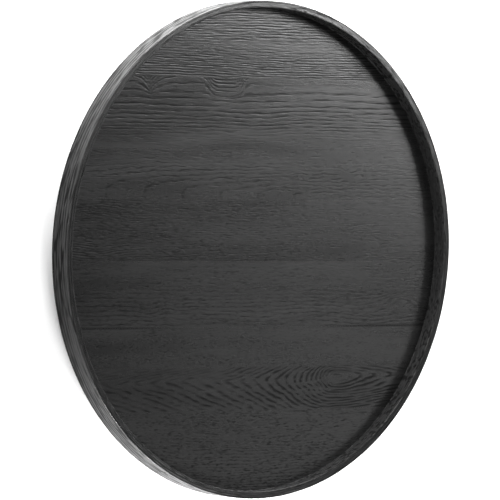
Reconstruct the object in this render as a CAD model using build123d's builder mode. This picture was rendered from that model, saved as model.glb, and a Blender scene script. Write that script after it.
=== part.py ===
from build123d import *
from math import degrees
import os

# Round serving tray, lying flat on its rim. All sizes are in millimetres.
# +Z is up, and the origin is the middle of the circle that the rim stands on.
# A rim of three bent plies is grooved on its inside, and the groove holds a veneered floor panel.

os.makedirs("parts", exist_ok=True)

# Whole tray
tray_radius = 250
rim_height = 24

# Rim: three plies of equal thickness, with a thin glue line between them
ply_thickness = 2.3
glue_line = 0.05
wall_arris = 1.0  # rounding of the rim's inner edges, beside the floor, top and bottom
outer_arris = 0.4  # rounding of the rim's outer edges, which look nearly sharp
ply_ease = 0.15  # fine chamfer beside each glue line, where the plies' edges show
middle_ply_radius = tray_radius - ply_thickness - glue_line
inner_ply_radius = middle_ply_radius - ply_thickness - glue_line
wall_radius = inner_ply_radius - ply_thickness

# Each ply is one strip, closed into a hoop by a scarf: a long slanting joint through its thickness,
# with a small square nib at each end. The three scarfs are spread around the rim, so that no two
# weaken it at one place.
scarf_length = 20
scarf_gap = 0.1
scarf_nib = 0.5
outer_scarf_angle = 240
middle_scarf_angle = 50
inner_scarf_angle = 165

# Floor panel: a core with a veneer on each face, held in the inner ply's groove
floor_level = 9
panel_thickness = 6
veneer_thickness = 0.6
groove_depth = 2.0
panel_clearance = 0.2  # between the panel's edge and the bottom of the groove
panel_radius = wall_radius + groove_depth - panel_clearance
panel_bottom = floor_level - panel_thickness

# Veneer strips run along X. The face strips have mixed widths, and the back strips are all alike.
face_joints = (172, 100, 50, -12, -78, -118, -162)
back_strip_count = 6
strip_gap = 0.1


def hoop_section(outer_radius):
    """Adds a ply's plain rectangular section to the sketch being built."""
    with Locations((outer_radius - ply_thickness / 2, rim_height / 2)):
        Rectangle(ply_thickness, rim_height)


def cut_scarf(outer_radius, angle):
    """Opens the hoop being built with the thin slanting gap of its scarf joint."""
    reach = degrees(scarf_length / 2 / outer_radius)
    corners = (
        (outer_radius + ply_thickness, reach),
        (outer_radius - scarf_nib, reach),
        (outer_radius - ply_thickness + scarf_nib, -reach),
        (outer_radius - 2 * ply_thickness, -reach),
    )
    with BuildSketch() as slot:
        with BuildLine():
            Polyline(*(Vector(radius, 0).rotate(Axis.Z, angle + turn) for radius, turn in corners))
        trace(line_width=scarf_gap)
    extrude(slot.sketch, amount=rim_height, mode=Mode.SUBTRACT)


def lay_strip(high_y, low_y, bottom):
    """Adds one veneer strip between two joints, trimmed to the panel's round edge."""
    with BuildSketch(Plane.XY.offset(bottom)) as outline:
        Circle(panel_radius)
        with Locations((0, (high_y + low_y) / 2)):
            Rectangle(2 * tray_radius, high_y - low_y - strip_gap, mode=Mode.INTERSECT)
    extrude(outline.sketch, amount=veneer_thickness)


# Outer ply: its outer face is the tray's outer wall.
with BuildPart() as rim_outer_ply:
    with BuildSketch(Plane.XZ) as outer_section:
        hoop_section(tray_radius)
        fillet(outer_section.vertices().group_by(Axis.X)[-1], outer_arris)
        chamfer(outer_section.vertices().group_by(Axis.X)[0], ply_ease)
    revolve(axis=Axis.Z)
    cut_scarf(tray_radius, outer_scarf_angle)
rim_outer_ply.part.label = "rim_outer_ply"
export_step(rim_outer_ply.part, "parts/rim_outer_ply.step")

# Middle ply: only its top and bottom edges show.
with BuildPart() as rim_middle_ply:
    with BuildSketch(Plane.XZ) as middle_section:
        hoop_section(middle_ply_radius)
        chamfer(middle_section.vertices(), ply_ease)
    revolve(axis=Axis.Z)
    cut_scarf(middle_ply_radius, middle_scarf_angle)
rim_middle_ply.part.label = "rim_middle_ply"
export_step(rim_middle_ply.part, "parts/rim_middle_ply.step")

# Inner ply: its inner face is the wall around the floor, and its groove holds the panel's edge.
with BuildPart() as rim_inner_ply:
    with BuildSketch(Plane.XZ) as inner_section:
        hoop_section(inner_ply_radius)
        fillet(inner_section.vertices().group_by(Axis.X)[0], wall_arris)
        chamfer(inner_section.vertices().group_by(Axis.X)[-1], ply_ease)
        with Locations((wall_radius + groove_depth / 2, panel_bottom + panel_thickness / 2)):
            Rectangle(groove_depth, panel_thickness, mode=Mode.SUBTRACT)
    revolve(axis=Axis.Z)
    cut_scarf(inner_ply_radius, inner_scarf_angle)
rim_inner_ply.part.label = "rim_inner_ply"
export_step(rim_inner_ply.part, "parts/rim_inner_ply.step")

# Floor core: the board that both veneers are pressed onto.
with BuildPart() as floor_core:
    with BuildSketch(Plane.XY.offset(panel_bottom + veneer_thickness)):
        Circle(panel_radius)
    extrude(amount=panel_thickness - 2 * veneer_thickness)
floor_core.part.label = "floor_core"
export_step(floor_core.part, "parts/floor_core.step")

# Face veneer: strips numbered from +Y to -Y, flush with each other at floor level.
face_lines = (tray_radius, *face_joints, -tray_radius)
for number, (high_y, low_y) in enumerate(zip(face_lines, face_lines[1:]), start=1):
    with BuildPart() as face_veneer:
        lay_strip(high_y, low_y, floor_level - veneer_thickness)
    face_veneer.part.label = f"face_veneer_{number}"
    export_step(face_veneer.part, f"parts/face_veneer_{number}.step")

# Backing veneer: equal strips on the panel's underside, which stands clear of the table.
back_strip_width = 2 * tray_radius / back_strip_count
for number in range(1, back_strip_count + 1):
    high_y = tray_radius - (number - 1) * back_strip_width
    with BuildPart() as back_veneer:
        lay_strip(high_y, high_y - back_strip_width, panel_bottom)
    back_veneer.part.label = f"back_veneer_{number}"
    export_step(back_veneer.part, f"parts/back_veneer_{number}.step")
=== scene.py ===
import math
from typing import Callable, NamedTuple

import bpy
import numpy as np
from mathutils import Matrix, Vector


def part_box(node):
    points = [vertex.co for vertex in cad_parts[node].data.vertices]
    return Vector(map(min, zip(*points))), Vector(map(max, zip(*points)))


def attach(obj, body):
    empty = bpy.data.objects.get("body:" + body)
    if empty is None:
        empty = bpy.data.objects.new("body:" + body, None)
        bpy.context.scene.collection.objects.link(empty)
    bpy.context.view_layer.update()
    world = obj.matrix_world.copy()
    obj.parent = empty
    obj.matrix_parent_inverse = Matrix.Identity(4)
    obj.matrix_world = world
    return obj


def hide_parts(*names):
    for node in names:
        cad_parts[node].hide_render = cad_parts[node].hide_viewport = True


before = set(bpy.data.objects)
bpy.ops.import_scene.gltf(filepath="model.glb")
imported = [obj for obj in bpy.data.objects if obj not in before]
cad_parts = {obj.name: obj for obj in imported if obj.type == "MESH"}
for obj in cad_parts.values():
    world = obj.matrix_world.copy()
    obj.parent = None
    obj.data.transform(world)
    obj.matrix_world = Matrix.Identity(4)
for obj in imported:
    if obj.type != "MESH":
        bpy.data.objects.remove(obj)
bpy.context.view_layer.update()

# A round wooden tray of black-stained, brushed ash. The rim's three plies and the veneer strips are
# rebuilt with their grain carved into them. Grain is worked out in millimetres, in the tray's frame,
# and meshes are made in metres.
MM = 0.001

# ---- Sizes, in millimetres -------------------------------------------------------------------------


def size_of(node, corner, axis):
    """One coordinate of a CAD node's box: corner 0 is the lowest, 1 the highest."""
    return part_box(node)[corner][axis] / MM


# Read from the CAD's nodes. The strips are numbered from +Y to -Y.
OUTER_RADIUS = size_of("rim_outer_ply", 1, 0)
MIDDLE_RADIUS = size_of("rim_middle_ply", 1, 0)
INNER_RADIUS = size_of("rim_inner_ply", 1, 0)
PANEL_RADIUS = size_of("floor_core", 1, 0)
RIM_HEIGHT = size_of("rim_outer_ply", 1, 2)
FLOOR_LEVEL = size_of("face_veneer_1", 1, 2)
PANEL_BOTTOM = size_of("back_veneer_1", 0, 2)
VENEER = FLOOR_LEVEL - size_of("face_veneer_1", 0, 2)
FACE_STRIPS = sorted(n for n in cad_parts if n.startswith("face_veneer"))
BACK_STRIPS = sorted(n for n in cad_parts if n.startswith("back_veneer"))

# Repeated from the CAD, where no node's box shows them.
GLUE_LINE = 0.05
PLY = (OUTER_RADIUS - MIDDLE_RADIUS) - GLUE_LINE
GROOVE_DEPTH = 2.0
OUTER_ARRIS = 0.4
EASE = 0.15  # chamfer beside each glue line
SCARF_LENGTH = 20
SCARF_GAP = 0.1
SCARF_NIB = 0.5

# Chosen for these pieces alone.
WALL_ARRIS = 0.5  # rounding of the rim's inner edges, crisper than in the CAD
COVE = 0.2  # bead of lacquer in the corner between floor and rim
SQUEEZE = 0.04  # how far a strip's long edges are pressed into the glue beside them
EDGE_ROW = 0.2  # first row of cells along a strip's long edges

# ---- Noise -----------------------------------------------------------------------------------------

TILE = 512
TILE_BLUR = 1.5  # in cells of the tile
BLOB = 3 * TILE_BLUR  # cells from one blob to the next, roughly
tiles = {}  # the tiles made so far, by seed


def noise_tile(seed):
    """A square of smooth noise with unit spread that repeats without a seam."""
    if seed not in tiles:
        raw = np.random.default_rng(seed).standard_normal((TILE, TILE))
        soften = np.exp(-2 * (np.pi * TILE_BLUR * np.fft.fftfreq(TILE)) ** 2)
        tile = np.fft.ifft2(np.fft.fft2(raw) * soften * soften[:, None]).real
        tiles[seed] = tile / tile.std()
    return tiles[seed]


def streaks(x, y, length, width, seed):
    """Smooth noise in blobs about length long in x and width wide in y."""
    tile = noise_tile(seed)
    across, along = y / width * BLOB, x / length * BLOB
    row, column = np.floor(across).astype(int), np.floor(along).astype(int)
    down, right = across - row, along - column
    row, column = row % TILE, column % TILE
    below, beside = (row + 1) % TILE, (column + 1) % TILE
    upper = tile[row, column] * (1 - right) + tile[row, beside] * right
    lower = tile[below, column] * (1 - right) + tile[below, beside] * right
    return upper * (1 - down) + lower * down


def hump(x, middle, reach):
    """A smooth hump of height 1 at middle, about reach wide on each side."""
    return np.exp(-(((x - middle) / reach) ** 2))


def step(x, edge, softness):
    """Rises smoothly from 0 to 1 as x passes edge."""
    return 1 / (1 + np.exp(np.clip((edge - x) / softness, -40, 40)))


# ---- Growth rings ----------------------------------------------------------------------------------
# Each figure takes points of a strip and its upper joint, top. It gives a number that grows by one
# from each growth ring to the next, and how clearly the rings are marked there. Places along X are
# in the tray's frame, and drops are measured down from the joint.


def close_straight(x, y, top):
    """Close, nearly straight rings, lost among loose pores in a band across the middle."""
    spacing, quiet_band = 2.5, 203
    wander = 1.3 * streaks(x, y, 150, 40, 11) + 0.35 * streaks(x, y, 24, 5, 21)
    return (y + wander) / spacing, 1 - 0.75 * hump(y, quiet_band, 8)


def hanging_waves(x, y, top):
    """Broad rings that hang in dips from the joint, and close up away from it."""
    notch_x, bowl_x, small_x = -139, -41, 158
    deepest, dip_drop = 15, 14
    notch = np.where(x < notch_x, np.exp((x - notch_x) / 9), np.exp((notch_x - x) / 14))
    bowl = step(22 - np.abs(x - bowl_x), 0, 3.2)
    small = 0.4 * np.exp(-np.abs(x - small_x) / 7)
    dip = deepest * (notch + bowl + small)
    sag = 2.6 * hump(x, 0, 38) + 1.5 * hump(x, -185, 30)
    wander = 0.5 * streaks(x, y, 60, 20, 12) + 0.3 * streaks(x, y, 14, 4, 22)
    down = top - y - sag * step(top - y, 10, 4) + wander
    # A ring hangs below its own level by the dip, and less so lower down. Halving finds that level.
    low, high = down - (deepest + 0.5), down
    for _ in range(12):
        middle = (low + high) / 2
        beyond = middle + dip * np.exp(-((np.clip(middle, 0, None) / dip_drop) ** 2)) > down
        low, high = np.where(beyond, low, middle), np.where(beyond, middle, high)
    ring = 3.5 * (np.exp(np.clip(low, 0, None) / 40) - 1) + 0.4 + np.clip(low, None, 0) / 3.6
    first = step(10.5, low, 0.8) * step(x, 4, 6)
    return -ring, (1 - 0.85 * step(top - y, 52, 5)) * (1 - 0.75 * first)


def arches(x, y, top):
    """Long blunt arches that point to -X, cut off by the lower joint."""
    tip_x, tip_ease, axis_drop, spacing = 100, 0.5, 46, 3.3
    reach = 0.068 * (tip_x - x)
    eased = tip_ease * np.exp(np.clip(reach / tip_ease - 1, -30, 0))
    reach = np.where(reach > tip_ease, reach, eased)
    wander = 0.5 * streaks(x, y, 40, 12, 13)
    rise = np.abs(y - (top - axis_drop) + wander + 0.5 * streaks(x, y, 9, 5, 23))
    ring = (reach**3 + (rise / 1.1) ** 3) ** (1 / 3) / spacing
    return ring, 1 - 0.75 * step(y, top - 17, 4)


def quiet_with_kink(x, y, top):
    """Fine close rings that part round a small lens near the -X end."""
    lens_x, lens_drop, spacing = -203, 35, 2.35
    lens = 5.5 * hump(x, lens_x, 34) * np.tanh((y - (top - lens_drop)) / 4)
    wander = 0.8 * streaks(x, y, 90, 20, 14) + 0.3 * streaks(x, y, 16, 4, 24)
    return (y - lens + wander) / spacing, 0.5 + 0.5 * hump(x, -200, 45) + 0.3 * hump(y, top - 60, 9)


def swirled_ends(x, y, top):
    """Straight rings that swirl round small knots near both ends of the strip."""
    left_x, knot_x, after_knot_x, spacing = -118, 200, 140, 4.1
    left = 3 * hump(x, left_x, 26) * hump(y, top - 47, 10) * np.sin(x / 8)
    knot = 8 * hump(x, knot_x, 20) * hump(y, top - 40, 9)
    right = knot - 3 * hump(x, after_knot_x, 22) * hump(y, top - 48, 9)
    wander = 1.2 * streaks(x, y, 60, 20, 15) + 0.35 * streaks(x, y, 14, 4, 25)
    mark = 0.35 + 0.75 * step(top - y, 30, 5) * (0.5 + 0.5 * np.abs(np.clip(x / 150, -1, 1)))
    return (y + left - right + wander) / spacing, mark


def rift(x, y, top):
    """Rings too steep to the surface to draw lines: the pores lie evenly."""
    spacing = 3.1
    return (y + 1.5 * streaks(x, y, 30, 8, 16)) / spacing, 0.2


def flame(x, y, top):
    """Pointed rings nested round an eye, long towards -X and short towards +X."""
    eye_x, eye_drop = 112, 11
    run = x - eye_x + streaks(x, y, 14, 6, 27)
    behind, ahead = np.clip(-run, 0, None), np.clip(run, 0, None)
    left = 9 * (1 - np.exp(-behind / 34)) + behind / 20
    right = 2.6 * (1 - np.exp(-ahead / 24)) + ahead / 30
    axis = top - eye_drop - 3 * (1 - np.exp(-behind / 80))
    rise = y - axis + 0.6 * streaks(x, y, 34, 10, 17)
    rise = np.where(rise > 0, rise / 2.2, -rise / (2.6 + 1.8 * step(behind, 60, 25)))
    # Round near the eye, and almost straight-sided far from it.
    power = 1.1 + 1.4 * np.exp(-(behind + ahead) / 60)
    ring = (left**power + right**power + rise**power) ** (1 / power)
    return ring, 0.5 + 0.5 * step(x, 0, 30) + 0.35 * step(top - y, 20, 4)


def fading_bow(x, y, top):
    """Fine rings that bow upwards towards +X, mostly lost among the pores."""
    bow_x, spacing = -20, 2.8
    bow = 0.00022 * (x - bow_x) ** 2
    wander = 1.3 * streaks(x, y, 60, 14, 18) + 0.3 * streaks(x, y, 14, 4, 28)
    return (y - bow + wander) / spacing, 0.25 + 0.5 * step(top - y, 45, 6)


def plain_back(x, y, top):
    """Quiet plain-sawn backing veneer: low arches about the strip's middle."""
    tip_x, axis_drop, spacing = 330, 41, 4.2
    reach = 0.03 * (tip_x - x)
    rise = y - top + axis_drop + 1.5 * streaks(x, y, 90, 30, 19)
    return np.sqrt(reach**2 + rise**2) / spacing, 1.0


def hoop_grain(x, y, top):
    """Close rings that run round a ply and drift slowly across it."""
    spacing = 4.2
    drift = 2.2 * streaks(x, y, 260, 30, 31) + 0.5 * streaks(x, y, 60, 7, 32)
    return (y + drift) / spacing, 0.7 + 0.4 * streaks(x, y, 120, 8, 33)


class Look(NamedTuple):
    """How a strip or ply is carved: figure gives its rings, and lengths are in millimetres."""

    figure: Callable
    marked: float  # how strongly the rings are marked
    porous: float  # how many loose pores there are
    length: float  # how long the pores are
    width: float = 0.9  # how wide the pores are
    share: float = 0.16  # how much of each ring is open wood
    fade: float = 0.0  # how much the grain fades towards +X


# The face strips from +Y to -Y.
FACE_LOOKS = (
    Look(close_straight, 2.0, 0.75, 9.0, width=0.75, share=0.2),
    Look(hanging_waves, 2.1, 0.5, 9.0, share=0.2, fade=0.4),
    Look(arches, 1.3, 0.8, 6.0, fade=0.6),
    Look(quiet_with_kink, 1.2, 1.2, 4.5, share=0.25, fade=0.6),
    Look(swirled_ends, 0.9, 0.9, 4.5, share=0.2, fade=0.3),
    Look(rift, 0.6, 1.0, 3.0, fade=0.4),
    Look(flame, 1.2, 0.3, 8.0, width=2.0, share=0.24),
    Look(fading_bow, 1.0, 1.1, 3.6, fade=0.1),
)
BACK_LOOK = Look(plain_back, 1.2, 0.9, 7.0, width=1.6)
OUTER_LOOK = Look(hoop_grain, 1.6, 2.2, 16.0, width=2.2, share=0.2)
MIDDLE_LOOK = Look(hoop_grain, 0.8, 1.2, 7.0, width=1.2)
INNER_LOOK = Look(hoop_grain, 1.2, 3.0, 3.0, width=2.2)

# ---- Carving ---------------------------------------------------------------------------------------
# All in millimetres.

RING_DEPTH = 0.045  # carved out of each ring's open wood
PORE_DEPTH = 0.038  # carved out of the loose pores
MEAN_DEPTH = 0.08  # of a carved surface, below the piece's outline
DEEPEST = 0.4  # limit of any cut
PROBE = 0.05  # step over which the spacing of the rings is measured
THINNEST_ROW = 0.3  # row of open wood in the closest rings
WIDEST_SPACING = 6.0  # rings further apart than this don't widen their rows


def carve(look, x, y, top, seed):
    """How deep the brushed grain is at each point, in millimetres, and how open its pores are."""
    ring, mark = look.figure(x, y, top)
    slope_x = (look.figure(x + PROBE, y, top)[0] - ring) / PROBE
    slope_y = (look.figure(x, y + PROBE, top)[0] - ring) / PROBE
    spacing = 1 / (np.hypot(slope_x, slope_y) + 0.01)
    # A row of open wood, with its sharper side towards the ring before. Crowded rings fade out.
    row = THINNEST_ROW + look.share * np.minimum(spacing, WIDEST_SPACING)
    part = ring - np.floor(ring)
    early = np.maximum(hump(part * spacing, 0, row), hump((1 - part) * spacing, 0, 0.5 * row))
    early = early * np.clip(spacing / 1.1 - 0.6, 0, 1) * np.clip(mark, 0, 1.2) * look.marked
    # The row breaks up into dashes, and loose pores lie between the rows.
    dashes = np.clip(0.75 + 0.45 * streaks(x, y, look.length * 1.6, look.width, seed), 0.05, 1.6)
    loose = np.clip(streaks(x, y, look.length, look.width, seed + 1) - 0.25, 0, 1.8)
    fine = streaks(x, y, look.length * 0.5, look.width * 0.75, seed + 2)
    strength = 1 - look.fade * step(x, 20, 60)
    depth = strength * (RING_DEPTH * early * dashes + PORE_DEPTH * look.porous * (loose + 0.3 * fine))
    pores = strength * (0.8 * early * dashes + 0.4 * look.porous * loose)
    return np.clip(depth - depth.mean() + MEAN_DEPTH, 0, DEEPEST), np.clip(pores, 0, 1)


# ---- Meshes ----------------------------------------------------------------------------------------

SEED_STEP = 3  # carve draws three patterns for each piece
GRAIN_SHIFT = 7.0  # parts the shader noise of two pieces, in millimetres for each step of the seed
SHARP = math.radians(50)  # edges steeper than this aren't shaded smooth


def grid_faces(rows, columns, closed=False):
    """Quads over a grid of points numbered row by row; closed joins the last row to the first."""
    row = np.arange(rows if closed else rows - 1)[:, None]
    column = np.arange(columns - 1)[None, :]
    here, above = row * columns + column, (row + 1) % rows * columns + column
    return np.stack([here, here + 1, above + 1, above], axis=-1).reshape(-1, 4)


def make_piece(name, points, faces, pores, grain, painted_arris_highlight, material, node):
    """Makes one carved piece that stands for a CAD node and rides with the tray."""
    mesh = bpy.data.meshes.new(name)
    mesh.from_pydata((points * MM).tolist(), [], faces)
    mesh.validate()
    # Beside the pores, each point carries how much painted highlight it gets on the rim's arrises.
    for label, values in (("pore", pores), ("painted_arris_highlight", painted_arris_highlight)):
        mesh.attributes.new(label, "FLOAT", "POINT").data.foreach_set("value", values.astype(np.float32))
    vectors = (grain * MM).astype(np.float32).ravel()
    mesh.attributes.new("grain", "FLOAT_VECTOR", "POINT").data.foreach_set("vector", vectors)
    mesh.materials.append(material)
    mesh.shade_smooth()
    mesh.set_sharp_from_angle(angle=SHARP)
    piece = bpy.data.objects.new(name, mesh)
    bpy.context.scene.collection.objects.link(piece)
    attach(piece, "root")
    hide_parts(node)
    return piece


# ---- The floor's veneers ---------------------------------------------------------------------------


class Side(NamedTuple):
    """One side of the floor panel, and its strips from +Y to -Y."""

    nodes: list
    looks: tuple
    edges: tuple  # how dark each strip's long edges are, one more than there are strips
    level: float
    inward: int  # which way along Z the panel lies
    cell: tuple  # size of a mesh cell along and across the grain
    wood: str
    slot: str
    seed: int


FACE_EDGES = (0.0, 0.25, 0.0, 0.0, 0.0, 1.0, 0.3, 0.0, 0.0)
BACK_EDGES = (0.5,) * (len(BACK_STRIPS) + 1)
BACK_LOOKS = (BACK_LOOK,) * len(BACK_STRIPS)
FACE_CELL = (1.3, 0.33)
BACK_CELL = (2.6, 1.0)
SIDES = {
    "face": Side(
        FACE_STRIPS, FACE_LOOKS, FACE_EDGES, FLOOR_LEVEL, -1, FACE_CELL, "face_ash", "face_wood", 100
    ),
    "back": Side(
        BACK_STRIPS, BACK_LOOKS, BACK_EDGES, PANEL_BOTTOM, 1, BACK_CELL, "back_ash", "back_wood", 200
    ),
}
LEVEL_REACH = 0.3  # how far from a long edge the carving is levelled
LINE_REACH = 1.0  # half the width of a dark joint
LINE_FROM = 110  # a joint is dark from here on towards both of its ends


def strip_grid(low, high, cell):
    """Points over a strip between two joints, row by row from low to high."""
    spread = np.linspace(low, high, int((high - low) / cell[1]) + 1)[1:-1]
    y = np.concatenate([[low, low + EDGE_ROW], spread[1:-1], [high - EDGE_ROW, high]])
    half = np.sqrt(np.clip(PANEL_RADIUS**2 - y**2, 1.0, None))
    across = np.linspace(-1, 1, int(2 * half.max() / cell[0]) + 1)
    return half[:, None] * across[None, :], np.repeat(y[:, None], len(across), axis=1)


def finish_edges(x, y, depth, pores, edges):
    """Levels a strip's carving at its long edges, and draws their lines towards both ends."""
    for edge, dark in edges:
        near = np.exp(-np.abs(y - edge) / LEVEL_REACH)
        depth = depth * (1 - near) + MEAN_DEPTH * near
        line = hump(y, edge, LINE_REACH) * dark * step(np.abs(x), LINE_FROM, 15)
        pores = np.maximum(pores * (1 - near), line)
    return np.clip(depth, 0, VENEER * 0.85), pores


def close_slab(x, y, z, back):
    """A grid of points closed into a slab: its points, its quads and the border of its flat back."""
    rows, columns = x.shape
    front = np.stack([x, y, z], axis=-1).reshape(-1, 3)
    number = np.arange(rows * columns).reshape(rows, columns)
    rim = np.concatenate([number[0], number[1:, -1], number[-1, -2::-1], number[-2:0:-1, 0]])
    under = front[rim].copy()
    under[:, 2] = back
    below = len(front) + np.arange(len(rim))
    sides = np.stack([rim, below, np.roll(below, -1), np.roll(rim, -1)], axis=-1)
    return np.concatenate([front, under]), np.concatenate([grid_faces(rows, columns), sides]), below


def add_strip(name, node, look, side, edges, wood, seed):
    """One veneer strip, carved on its outer side and level at its long edges, where the joints are."""
    low, high = size_of(node, 0, 1) - SQUEEZE, size_of(node, 1, 1) + SQUEEZE
    x, y = strip_grid(low, high, side.cell)
    depth, pores = carve(look, x, y, high, seed)
    depth, pores = finish_edges(x, y, depth, pores, zip((high, low), edges))
    z = side.level + side.inward * depth
    points, faces, back = close_slab(x, y, z, side.level + side.inward * VENEER)
    if side.inward > 0:
        faces = faces[:, ::-1]
    else:
        back = back[::-1]
    pores = np.concatenate([pores.ravel(), np.zeros(len(back))])
    grain = points + [0, 0, seed * GRAIN_SHIFT]
    faces = faces.tolist() + [back.tolist()]
    return make_piece(name, points, faces, pores, grain, 0 * pores, wood, node)


def add_strips(label, side):
    """All the strips of one side of the floor panel."""
    wood = stained_ash(side.wood)
    for k, (node, look) in enumerate(zip(side.nodes, side.looks)):
        seed = side.seed + SEED_STEP * k
        add_strip(f"{label}_strip_{k + 1}", node, look, side, side.edges[k : k + 2], wood, seed)


# ---- The rim's plies -------------------------------------------------------------------------------
# A section runs anticlockwise in radius and height. Each of its parts is a list of points, with how
# strongly that part is brushed.

ON_WALL, ON_TOP, ON_FOOT, ON_BEAD, ON_GLUE = 1.0, 0.8, 0.5, 0.1, 0.0
OUTER_WALL_CELLS = 44
INNER_WALL_CELLS = 34
ARRIS_CELLS = 6


def section_run(start, end, count):
    """Points from start to end along a straight part of a ply's section, without the last."""
    return [np.array(start) + (np.array(end) - np.array(start)) * k / count for k in range(count)]


def section_arc(centre, radius, first, last):
    """Points round a rounded arris, from one angle to another in degrees, without the last."""
    angles = np.radians(np.linspace(first, last, ARRIS_CELLS + 1))[:-1]
    return [np.array(centre) + radius * np.array([math.cos(a), math.sin(a)]) for a in angles]


def glued_outside(outer, height):
    """The face of a ply that is glued to the next ply outwards, from its foot up."""
    face = section_run((outer, EASE), (outer, height - EASE), 2)
    return face + section_run((outer, height - EASE), (outer - EASE, height), 1)


def glued_inside(inner, height):
    """The face of a ply that is glued to the next ply inwards, from its top down."""
    face = section_run((inner + EASE, height), (inner, height - EASE), 1)
    face += section_run((inner, height - EASE), (inner, EASE), 2)
    return face + section_run((inner, EASE), (inner + EASE, 0), 1)


def outer_section(outer, inner, height):
    """The outer ply's section, from the foot of the tray's outer wall."""
    wall = section_run((outer, OUTER_ARRIS), (outer, height - OUTER_ARRIS), OUTER_WALL_CELLS)
    top = section_arc((outer - OUTER_ARRIS, height - OUTER_ARRIS), OUTER_ARRIS, 0, 90)
    top += section_run((outer - OUTER_ARRIS, height), (inner + EASE, height), 3)
    foot = section_run((inner + EASE, 0), (outer - OUTER_ARRIS, 0), 3)
    foot += section_arc((outer - OUTER_ARRIS, OUTER_ARRIS), OUTER_ARRIS, -90, 0)
    return [(wall, ON_WALL), (top, ON_TOP), (glued_inside(inner, height), ON_GLUE), (foot, ON_FOOT)]


def middle_section(outer, inner, height):
    """The middle ply's section: only its top and foot are carved."""
    outside, inside = glued_outside(outer, height), glued_inside(inner, height)
    top = section_run((outer - EASE, height), (inner + EASE, height), 5)
    foot = section_run((inner + EASE, 0), (outer - EASE, 0), 5)
    foot += section_run((outer - EASE, 0), (outer, EASE), 1)
    return [(outside, ON_GLUE), (top, ON_TOP), (inside, ON_GLUE), (foot, ON_FOOT)]


def inner_section(outer, inner, height):
    """The inner ply's section: its groove holds the floor, and a bead of lacquer lies in the corner."""
    groove_radius = inner + GROOVE_DEPTH
    top = section_run((outer - EASE, height), (inner + WALL_ARRIS, height), 3)
    top += section_arc((inner + WALL_ARRIS, height - WALL_ARRIS), WALL_ARRIS, 90, 180)
    wall = section_run((inner, height - WALL_ARRIS), (inner, FLOOR_LEVEL + COVE), INNER_WALL_CELLS)
    bead = section_arc((inner - COVE, FLOOR_LEVEL + COVE), COVE, 0, -90)
    groove = section_run((inner - COVE, FLOOR_LEVEL), (groove_radius, FLOOR_LEVEL), 1)
    groove += section_run((groove_radius, FLOOR_LEVEL), (groove_radius, PANEL_BOTTOM), 1)
    groove += section_run((groove_radius, PANEL_BOTTOM), (inner, PANEL_BOTTOM), 1)
    foot = section_run((inner, PANEL_BOTTOM), (inner, WALL_ARRIS), 4)
    foot += section_arc((inner + WALL_ARRIS, WALL_ARRIS), WALL_ARRIS, 180, 270)
    foot += section_run((inner + WALL_ARRIS, 0), (outer - EASE, 0), 3)
    foot += section_run((outer - EASE, 0), (outer, EASE), 1)
    inside = [(wall, ON_WALL), (bead, ON_BEAD), (groove, ON_GLUE), (foot, ON_FOOT)]
    return [(glued_outside(outer, height), ON_GLUE), (top, ON_TOP)] + inside


class Ply(NamedTuple):
    """One of the bent strips that the rim is glued up from."""

    node: str
    look: Look
    section: Callable
    outer: float  # radius of its outer face
    scarf_angle: float  # where its scarf joint is, in degrees, as in the CAD
    steps: int  # how many sections its mesh has
    seed: int


PLIES = {
    "outer_hoop": Ply("rim_outer_ply", OUTER_LOOK, outer_section, OUTER_RADIUS, 240, 1150, 300),
    "middle_hoop": Ply("rim_middle_ply", MIDDLE_LOOK, middle_section, MIDDLE_RADIUS, 50, 800, 310),
    "inner_hoop": Ply("rim_inner_ply", INNER_LOOK, inner_section, INNER_RADIUS, 165, 1100, 320),
}


def trace_section(parts):
    """A section's points, how strongly each is brushed, its outward direction and its way round."""
    profile = np.array([p for run, _ in parts for p in run])
    weight = np.array([w for run, w in parts for _ in run])
    tangent = np.roll(profile, -1, axis=0) - np.roll(profile, 1, axis=0)
    tangent /= np.linalg.norm(tangent, axis=1)[:, None]
    outward = np.stack([tangent[:, 1], -tangent[:, 0]], axis=-1)
    girth = np.cumsum(np.linalg.norm(profile - np.roll(profile, 1, axis=0), axis=1))
    return profile, weight, outward, girth


def scarf_lead(profile, outer):
    """How far each point of the section starts along the rim, because the scarf slants."""
    reach = (outer - profile[:, 0] - SCARF_NIB) / (PLY - 2 * SCARF_NIB)
    return (0.5 - np.clip(reach, 0, 1)) * SCARF_LENGTH


def painted_arris_highlights(profile, weight, outward):
    """Where a highlight is painted onto the section, lighter than the wood: its rounded edges along the
    rim's top.
    """
    rounded = (np.abs(outward[:, 0]) > 0.25) * (weight > 0)
    return hump(profile[:, 1], RIM_HEIGHT - 0.3, 0.7) * rounded


def hoop_faces(rows, steps):
    """The quads of a hoop of rows points by steps sections, and the two ends of its scarf."""
    faces = grid_faces(rows, steps, closed=True)[:, ::-1].tolist()
    faces.append((np.arange(rows) * steps).tolist())
    faces.append((np.arange(rows)[::-1] * steps + steps - 1).tolist())
    return faces


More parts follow.
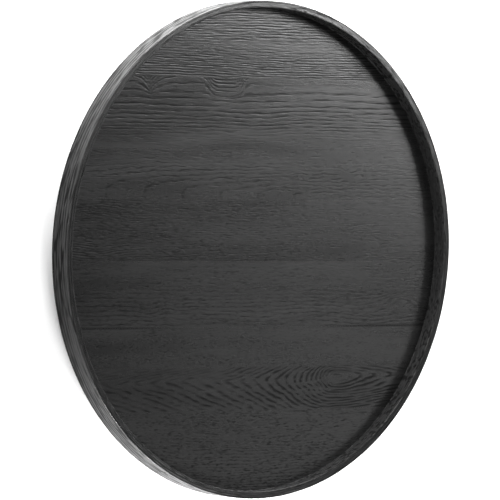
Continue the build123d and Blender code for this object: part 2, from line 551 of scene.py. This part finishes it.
def add_hoop(name, ply, woods):
    """One bent ply: its section carried round the rim, between the two slanting ends of its scarf."""
    parts = ply.section(ply.outer, ply.outer - PLY, RIM_HEIGHT)
    profile, weight, outward, girth = trace_section(parts)
    run = np.linspace(SCARF_GAP / 2, 2 * math.pi * ply.outer - SCARF_GAP / 2, ply.steps)
    along = scarf_lead(profile, ply.outer)[:, None] + run[None, :]
    across = np.repeat(girth[:, None], ply.steps, axis=1)
    depth, pores = carve(ply.look, along, across, 0, ply.seed)
    depth = depth * weight[:, None]
    radius = profile[:, :1] - outward[:, :1] * depth
    height = profile[:, 1:] - outward[:, 1:] * depth
    angle = math.radians(ply.scarf_angle) + along / ply.outer
    points = np.stack([radius * np.cos(angle), radius * np.sin(angle), height], axis=-1).reshape(-1, 3)
    shift = np.full_like(along, ply.seed * GRAIN_SHIFT)
    grain = np.stack([along, across, shift], axis=-1).reshape(-1, 3)
    # The rim's top arrises get a painted highlight: their tone is lifted where light catches the rounded
    # edge.
    painted_arris_highlight = np.repeat(painted_arris_highlights(profile, weight, outward), ply.steps)
    faces = hoop_faces(len(profile), ply.steps)
    piece = make_piece(name, points, faces, pores.ravel(), grain, painted_arris_highlight, woods[0], ply.node)
    # The faces that look up or down are the cut edges of the ply.
    piece.data.materials.append(woods[1])
    cut = np.append(np.repeat(np.abs(outward[:, 1]) > 0.7, ply.steps - 1), [False, False])
    piece.data.polygons.foreach_set("material_index", cut.astype(np.int32))
    return piece


# ---- Materials -------------------------------------------------------------------------------------


class Nodes:
    """Builds one material's node tree."""

    def __init__(self, name):
        self.material = bpy.data.materials.new(name)
        self.material.use_nodes = True
        self.tree = self.material.node_tree
        self.shader = self.tree.nodes["Principled BSDF"]

    def feed(self, socket, value):
        """Links an output to a socket, or sets the socket to a plain value."""
        if isinstance(value, bpy.types.NodeSocket):
            self.tree.links.new(value, socket)
        else:
            socket.default_value = value

    def attribute(self, name, output="Fac"):
        """A value that the mesh carries at each of its points."""
        node = self.tree.nodes.new("ShaderNodeAttribute")
        node.attribute_name = name
        return node.outputs[output]

    def place(self):
        """Where a point is in its own object."""
        return self.tree.nodes.new("ShaderNodeTexCoord").outputs["Object"]

    def noise(self, vector, stretch, scale, detail=3.0, roughness=0.55):
        """Noise drawn on a vector that is first scaled by stretch."""
        mapping = self.tree.nodes.new("ShaderNodeMapping")
        mapping.inputs["Scale"].default_value = stretch
        self.feed(mapping.inputs["Vector"], vector)
        node = self.tree.nodes.new("ShaderNodeTexNoise")
        node.inputs["Scale"].default_value = scale
        node.inputs["Detail"].default_value = detail
        node.inputs["Roughness"].default_value = roughness
        self.feed(node.inputs["Vector"], mapping.outputs["Vector"])
        return node.outputs["Fac"]

    def span(self, value, low, high, to_low=0.0, to_high=1.0):
        """Maps low..high onto to_low..to_high, held at both ends."""
        node = self.tree.nodes.new("ShaderNodeMapRange")
        for socket, number in zip(node.inputs[1:5], (low, high, to_low, to_high)):
            socket.default_value = number
        self.feed(node.inputs["Value"], value)
        return node.outputs["Result"]

    def math(self, operation, a, b, clamp=False):
        """A sum or product of two values."""
        node = self.tree.nodes.new("ShaderNodeMath")
        node.operation = operation
        node.use_clamp = clamp
        self.feed(node.inputs[0], a)
        self.feed(node.inputs[1], b)
        return node.outputs[0]

    def mix(self, amount, a, b):
        """Colour a turning into colour b as amount goes from 0 to 1."""
        node = self.tree.nodes.new("ShaderNodeMix")
        node.data_type = "RGBA"
        self.feed(node.inputs["Factor"], amount)
        self.feed(node.inputs["A"], a)
        self.feed(node.inputs["B"], b)
        return node.outputs["Result"]

    def bump(self, height, strength, distance):
        """A normal tilted by the slopes of height."""
        node = self.tree.nodes.new("ShaderNodeBump")
        node.inputs["Strength"].default_value = strength
        node.inputs["Distance"].default_value = distance
        self.feed(node.inputs["Height"], height)
        return node.outputs["Normal"]


def grey(level):
    """A neutral colour."""
    return (level, level, level, 1.0)


class Stain(NamedTuple):
    """How one stained and lacquered surface looks."""

    ridge: float  # tone of the wood between the pores
    pore: float  # tone of the open pores
    gloss: float  # roughness of the wood between the pores
    pore_gloss: float  # roughness of the open pores
    streaky: float  # how uneven the lacquer's shine is


STAINS = {
    "face_ash": Stain(0.0088, 0.0036, gloss=0.27, pore_gloss=0.33, streaky=0.1),
    "back_ash": Stain(0.0112, 0.0045, gloss=0.31, pore_gloss=0.37, streaky=0.1),
    "rim_ash": Stain(0.0045, 0.0012, gloss=0.37, pore_gloss=0.95, streaky=0.6),
    "rim_edge_ash": Stain(0.002, 0.001, gloss=0.38, pore_gloss=0.6, streaky=0.4),
}
LACQUER_SPECULAR = 0.42
PORE_SHINE = 0.15  # share of the lacquer's shine that an open pore keeps


def stained_ash(name):
    """Black-stained brushed ash: dark unlacquered pores, satin ridges, and a painted highlight on the
    arrises.
    """
    stain = STAINS[name]
    n = Nodes(name)
    grain = n.attribute("grain", "Vector")
    hair = n.noise(grain, stretch=(0.06, 1.0, 1.0), scale=1400, roughness=0.6)
    cloud = n.noise(grain, stretch=(0.12, 1.0, 1.0), scale=45, detail=4.0, roughness=0.6)
    band = n.noise(grain, stretch=(0.25, 1.0, 1.0), scale=380, detail=2.0, roughness=0.5)
    fine_pores = n.span(hair, 0.56, 0.72, 0.0, 0.75)
    openness = n.math("ADD", n.attribute("pore"), n.math("MULTIPLY", fine_pores, 0.35), clamp=True)
    wood = n.mix(n.span(cloud, 0.3, 0.7), grey(stain.ridge * 0.75), grey(stain.ridge * 1.3))
    # Painted highlight: the wood on the rounded arrises is painted lighter, standing in for light caught
    # by the edge.
    wood = n.mix(n.attribute("painted_arris_highlight"), wood, grey(stain.ridge * 1.5))
    n.feed(n.shader.inputs["Base Color"], n.mix(openness, wood, grey(stain.pore)))
    lacquer = n.mix(n.span(band, 0.35, 0.65), grey(1.0 - stain.streaky), grey(1.0))
    n.feed(n.shader.inputs["Specular Tint"], n.mix(openness, lacquer, grey(PORE_SHINE)))
    patches = n.span(cloud, 0.3, 0.7, -0.03, 0.03)
    sheen = n.math("ADD", n.span(openness, 0.0, 1.0, stain.gloss, stain.pore_gloss), patches)
    n.feed(n.shader.inputs["Roughness"], sheen)
    n.feed(n.shader.inputs["Normal"], n.bump(hair, strength=0.35, distance=0.00012))
    n.shader.inputs["Specular IOR Level"].default_value = LACQUER_SPECULAR
    return n.material


def fibreboard(name):
    """The panel's raw core: pressed wood fibres, mottled and matt."""
    dark, light, resin = (0.20, 0.125, 0.07, 1), (0.36, 0.25, 0.15, 1), (0.27, 0.18, 0.10, 1)
    n = Nodes(name)
    place = n.place()
    fibres = n.noise(place, stretch=(1.0, 1.0, 0.4), scale=900, detail=5.0, roughness=0.7)
    mottle = n.noise(place, stretch=(1.0, 1.0, 1.0), scale=60)
    tone = n.mix(n.span(fibres, 0.35, 0.65), dark, light)
    tone = n.mix(n.span(mottle, 0.35, 0.65, 0.0, 0.4), tone, resin)
    n.feed(n.shader.inputs["Base Color"], tone)
    n.feed(n.shader.inputs["Roughness"], n.span(fibres, 0.3, 0.7, 0.7, 0.95))
    n.feed(n.shader.inputs["Normal"], n.bump(fibres, strength=0.5, distance=0.0002))
    return n.material


def stage_paper(name):
    """The plain pale floor: matt paper with a faint tooth."""
    n = Nodes(name)
    tooth = n.noise(n.place(), stretch=(1.0, 1.0, 1.0), scale=400, detail=2.0)
    n.feed(n.shader.inputs["Base Color"], n.mix(n.span(tooth, 0.3, 0.7), grey(0.88), grey(0.9)))
    n.shader.inputs["Roughness"].default_value = 0.7
    n.shader.inputs["Specular IOR Level"].default_value = 0.1
    return n.material


# ---- Stage, light and camera, in metres ------------------------------------------------------------

FLOOR_HALF = 6.0
FLOOR_DROP = 0.0002  # keeps the stage clear of the tray's foot
WORLD_GLOW = 0.005
# name: place, size and power of each softbox; all of them face the tray.
SOFTBOXES = {
    "far_key": ((1.35, 0.35, 1.0), (0.6, 0.6), 7.2),
    "mid_key": ((0.8, 0.45, 0.5), (0.4, 0.4), 7.8),
    "side_key": ((0.5, 0.45, 0.45), (0.3, 0.3), 5.2),
    "near_key": ((0.45, 0.45, 0.65), (0.25, 0.25), 2.2),
    "top_fill": ((0.5, 1.4, 0.25), (1.4, 0.3), 15.0),
    "low_key": ((0.95, -0.3, 1.0), (0.4, 0.4), 0.65),
    "foot_fill": ((0.1, -0.6, 0.5), (0.3, 0.3), 5.0),
    "left_skim": ((-0.6, 0.0, 0.05), (0.6, 0.05), 2.6),
    "top_skim": ((-0.1, 0.45, 0.05), (0.3, 0.05), 6.8),
    "top_left_skim": ((-0.3, 0.42, 0.05), (0.3, 0.05), 7.1),
    "foot_skim": ((0.0, -0.45, 0.05), (0.3, 0.05), 2.4),
    "foot_low_skim": ((-0.18, -0.42, 0.01), (0.3, 0.02), 6.5),
}

# The tray as the camera holds it: first tipped, then turned about the camera's upright.
TRAY_TURN = math.radians(39.83)
TRAY_TIP = math.radians(2.17)
TRAY_ASIDE = 0.0137
CAMERA_DISTANCE = 5.5135
CAMERA_SIGHT = 50
LENS = 395.7  # in millimetres, like the sensor
SENSOR = 36


def add_stage():
    """The plain floor that the tray lies on."""
    mesh = bpy.data.meshes.new("floor")
    corners = [(FLOOR_HALF * i, FLOOR_HALF * j, 0) for i, j in ((-1, -1), (1, -1), (1, 1), (-1, 1))]
    mesh.from_pydata(corners, [], [(0, 1, 2, 3)])
    mesh.materials.append(stage_paper("stage_paper"))
    floor = bpy.data.objects.new("floor", mesh)
    floor.location.z = -FLOOR_DROP
    bpy.context.scene.collection.objects.link(floor)


def add_world():
    """A faint white glow from all round."""
    world = bpy.data.worlds.new("studio")
    world.use_nodes = True
    world.node_tree.nodes["Background"].inputs["Color"].default_value = grey(1.0)
    world.node_tree.nodes["Background"].inputs["Strength"].default_value = WORLD_GLOW
    bpy.context.scene.world = world


def add_softbox(name, place, size, power):
    """One soft light, turned towards the middle of the tray."""
    data = bpy.data.lights.new(name, "AREA")
    data.shape = "RECTANGLE"
    data.size, data.size_y = size
    data.energy = power
    light = bpy.data.objects.new(name, data)
    light.location = place
    light.rotation_mode = "QUATERNION"
    light.rotation_quaternion = (-Vector(place)).to_track_quat("-Z", "Y")
    bpy.context.scene.collection.objects.link(light)


def add_camera():
    """A long lens, with the tray at the photograph's angle."""
    data = bpy.data.cameras.new("camera")
    data.lens, data.sensor_width = LENS, SENSOR
    data.clip_end = CAMERA_SIGHT
    camera = bpy.data.objects.new("camera", data)
    held = Matrix.Rotation(TRAY_TURN, 3, "Y") @ Matrix.Rotation(TRAY_TIP, 3, "X")
    facing = held.transposed()
    rim_centre = Vector((0, 0, RIM_HEIGHT * MM))
    place = rim_centre - facing @ Vector((TRAY_ASIDE, 0, -CAMERA_DISTANCE))
    camera.matrix_world = Matrix.Translation(place) @ facing.to_4x4()
    bpy.context.scene.collection.objects.link(camera)
    bpy.context.scene.camera = camera
    bpy.context.scene.view_settings.view_transform = "Standard"


# ---- The scene -------------------------------------------------------------------------------------


def add_tray():
    """The veneers and the plies as carved pieces, and the core as the CAD made it."""
    for label, side in SIDES.items():
        add_strips(label, side)
    rim_woods = [stained_ash("rim_ash"), stained_ash("rim_edge_ash")]
    for name, ply in PLIES.items():
        add_hoop(name, ply, rim_woods)
    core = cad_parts["floor_core"]
    core.data.materials.clear()
    core.data.materials.append(fibreboard("core_board"))


add_stage()
add_world()
for name, (place, size, power) in SOFTBOXES.items():
    add_softbox(name, place, size, power)
add_camera()
add_tray()
